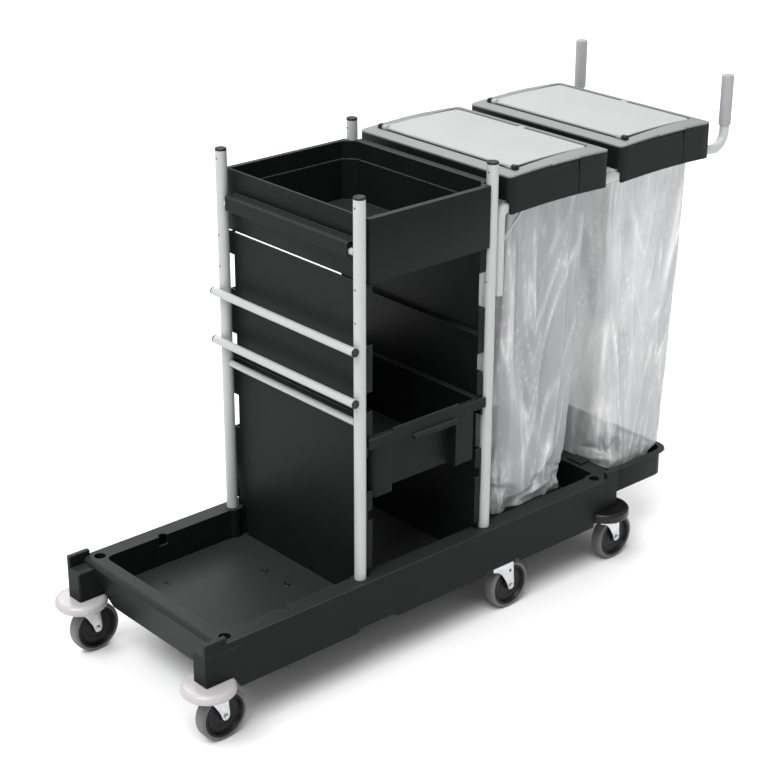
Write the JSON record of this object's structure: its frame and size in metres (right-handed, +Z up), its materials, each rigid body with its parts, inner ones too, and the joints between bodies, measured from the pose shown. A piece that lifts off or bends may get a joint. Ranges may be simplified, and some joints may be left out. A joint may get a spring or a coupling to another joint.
{
  "type": "housekeeping cart",
  "caption": "Housekeeping cart: moulded base on castors, open cabinet with a drawer and a top bin, two lidded bag holders and upright push handles.",
  "frame": {"origin": "middle of the cart's footprint, on the floor", "axes": "+X along the cart from the low open end to the push handles, +Y across it towards the side away from the drawer's front, +Z up"},
  "size_m": [1.7502, 0.6354, 1.2425],
  "materials": {
    "base_plastic": "charcoal moulded plastic with a fine satin grain",
    "rear_bumper": "black soft plastic",
    "front_bumper": "light grey soft plastic, satin",
    "post_paint": "light grey powder coat, semi-gloss",
    "cap_plastic": "black plastic",
    "ring_plastic": "mid-grey satin plastic",
    "flap_plastic": "light grey satin plastic",
    "grip_rubber": "grey soft grip, matt",
    "bag_film": "clear crumpled film",
    "fork_zinc": "zinc-plated pressed steel",
    "hub_plastic": "black plastic",
    "tyre_rubber": "grey non-marking rubber"
  },
  "bodies": {
    "frame": {"base_tray": "base_plastic", "extension_tray": "base_plastic", "side_panel_front": "base_plastic", "side_panel_rear": "base_plastic", "top_bin": "base_plastic", "lid_frame_front": "base_plastic", "lid_frame_rear": "base_plastic", "rear_bumper_near": "rear_bumper", "rear_bumper_far": "rear_bumper", "front_bumper_near": "front_bumper", "front_bumper_far": "front_bumper", "post_front_near": "post_paint", "post_front_far": "post_paint", "post_rear_near": "post_paint", "post_rear_far": "post_paint", "front_upper_tube": "post_paint", "front_lower_tube": "post_paint", "rear_upper_tube": "post_paint", "rear_lower_tube": "post_paint", "hanging_rail_upper": "post_paint", "hanging_rail_lower": "post_paint", "side_arm_near": "post_paint", "side_arm_far": "post_paint", "post_cap_front_near": "cap_plastic", "post_cap_front_far": "cap_plastic", "post_cap_rear_near": "cap_plastic", "post_cap_rear_far": "cap_plastic", "rail_cap_upper_near": "cap_plastic", "rail_cap_upper_far": "cap_plastic", "rail_cap_lower_near": "cap_plastic", "rail_cap_lower_far": "cap_plastic", "hinge_rod_front": "cap_plastic", "hinge_rod_rear": "cap_plastic", "lid_ring_front": "ring_plastic", "lid_ring_rear": "ring_plastic", "handle_grip_near": "grip_rubber", "handle_grip_far": "grip_rubber", "bag_front": "bag_film", "bag_rear": "bag_film"},
    "drawer": {"drawer": "base_plastic"},
    "lid_flap_front": {"lid_flap_front": "flap_plastic"},
    "lid_flap_rear": {"lid_flap_rear": "flap_plastic"},
    "castor_swivel_front_near": {"castor_fork_front_near": "fork_zinc"},
    "castor_wheel_front_near": {"castor_hub_front_near": "hub_plastic", "castor_tyre_front_near": "tyre_rubber"},
    "castor_swivel_front_far": {"castor_fork_front_far": "fork_zinc"},
    "castor_wheel_front_far": {"castor_hub_front_far": "hub_plastic", "castor_tyre_front_far": "tyre_rubber"},
    "castor_swivel_middle_near": {"castor_fork_middle_near": "fork_zinc"},
    "castor_wheel_middle_near": {"castor_hub_middle_near": "hub_plastic", "castor_tyre_middle_near": "tyre_rubber"},
    "castor_swivel_middle_far": {"castor_fork_middle_far": "fork_zinc"},
    "castor_wheel_middle_far": {"castor_hub_middle_far": "hub_plastic", "castor_tyre_middle_far": "tyre_rubber"},
    "castor_swivel_rear_near": {"castor_fork_rear_near": "fork_zinc"},
    "castor_wheel_rear_near": {"castor_hub_rear_near": "hub_plastic", "castor_tyre_rear_near": "tyre_rubber"},
    "castor_swivel_rear_far": {"castor_fork_rear_far": "fork_zinc"},
    "castor_wheel_rear_far": {"castor_hub_rear_far": "hub_plastic", "castor_tyre_rear_far": "tyre_rubber"}
  },
  "joints": [
    {"name": "drawer_slide", "type": "slide", "parent": "frame", "child": "drawer", "axis": [0, -1, 0], "range_m": [0, 0.32]},
    {"name": "lid_hinge_front", "type": "hinge", "parent": "frame", "child": "lid_flap_front", "pos_m": [0.1236, 0, 1.1405], "axis": [0, -1, 0], "range_deg": [0, 100]},
    {"name": "lid_hinge_rear", "type": "hinge", "parent": "frame", "child": "lid_flap_rear", "pos_m": [0.5011, 0, 1.1405], "axis": [0, -1, 0], "range_deg": [0, 100]},
    {"name": "castor_swivel_front_near", "type": "hinge", "parent": "frame", "child": "castor_swivel_front_near", "pos_m": [-0.8114, -0.254, 0.14], "axis": [0, 0, 1], "continuous": true},
    {"name": "castor_roll_front_near", "type": "hinge", "parent": "castor_swivel_front_near", "child": "castor_wheel_front_near", "pos_m": [-0.7804, -0.254, 0.0625], "axis": [0, 1, 0], "continuous": true},
    {"name": "castor_swivel_front_far", "type": "hinge", "parent": "frame", "child": "castor_swivel_front_far", "pos_m": [-0.8114, 0.254, 0.14], "axis": [0, 0, 1], "continuous": true},
    {"name": "castor_roll_front_far", "type": "hinge", "parent": "castor_swivel_front_far", "child": "castor_wheel_front_far", "pos_m": [-0.7804, 0.254, 0.0625], "axis": [0, 1, 0], "continuous": true},
    {"name": "castor_swivel_middle_near", "type": "hinge", "parent": "frame", "child": "castor_swivel_middle_near", "pos_m": [0.0836, -0.254, 0.14], "axis": [0, 0, 1], "continuous": true},
    {"name": "castor_roll_middle_near", "type": "hinge", "parent": "castor_swivel_middle_near", "child": "castor_wheel_middle_near", "pos_m": [0.1146, -0.254, 0.0625], "axis": [0, 1, 0], "continuous": true},
    {"name": "castor_swivel_middle_far", "type": "hinge", "parent": "frame", "child": "castor_swivel_middle_far", "pos_m": [0.0836, 0.254, 0.14], "axis": [0, 0, 1], "continuous": true},
    {"name": "castor_roll_middle_far", "type": "hinge", "parent": "castor_swivel_middle_far", "child": "castor_wheel_middle_far", "pos_m": [0.1146, 0.254, 0.0625], "axis": [0, 1, 0], "continuous": true},
    {"name": "castor_swivel_rear_near", "type": "hinge", "parent": "frame", "child": "castor_swivel_rear_near", "pos_m": [0.4766, -0.254, 0.14], "axis": [0, 0, 1], "continuous": true},
    {"name": "castor_roll_rear_near", "type": "hinge", "parent": "castor_swivel_rear_near", "child": "castor_wheel_rear_near", "pos_m": [0.5076, -0.254, 0.0625], "axis": [0, 1, 0], "continuous": true},
    {"name": "castor_swivel_rear_far", "type": "hinge", "parent": "frame", "child": "castor_swivel_rear_far", "pos_m": [0.4766, 0.254, 0.14], "axis": [0, 0, 1], "continuous": true},
    {"name": "castor_roll_rear_far", "type": "hinge", "parent": "castor_swivel_rear_far", "child": "castor_wheel_rear_far", "pos_m": [0.5076, 0.254, 0.0625], "axis": [0, 1, 0], "continuous": true}
  ]
}
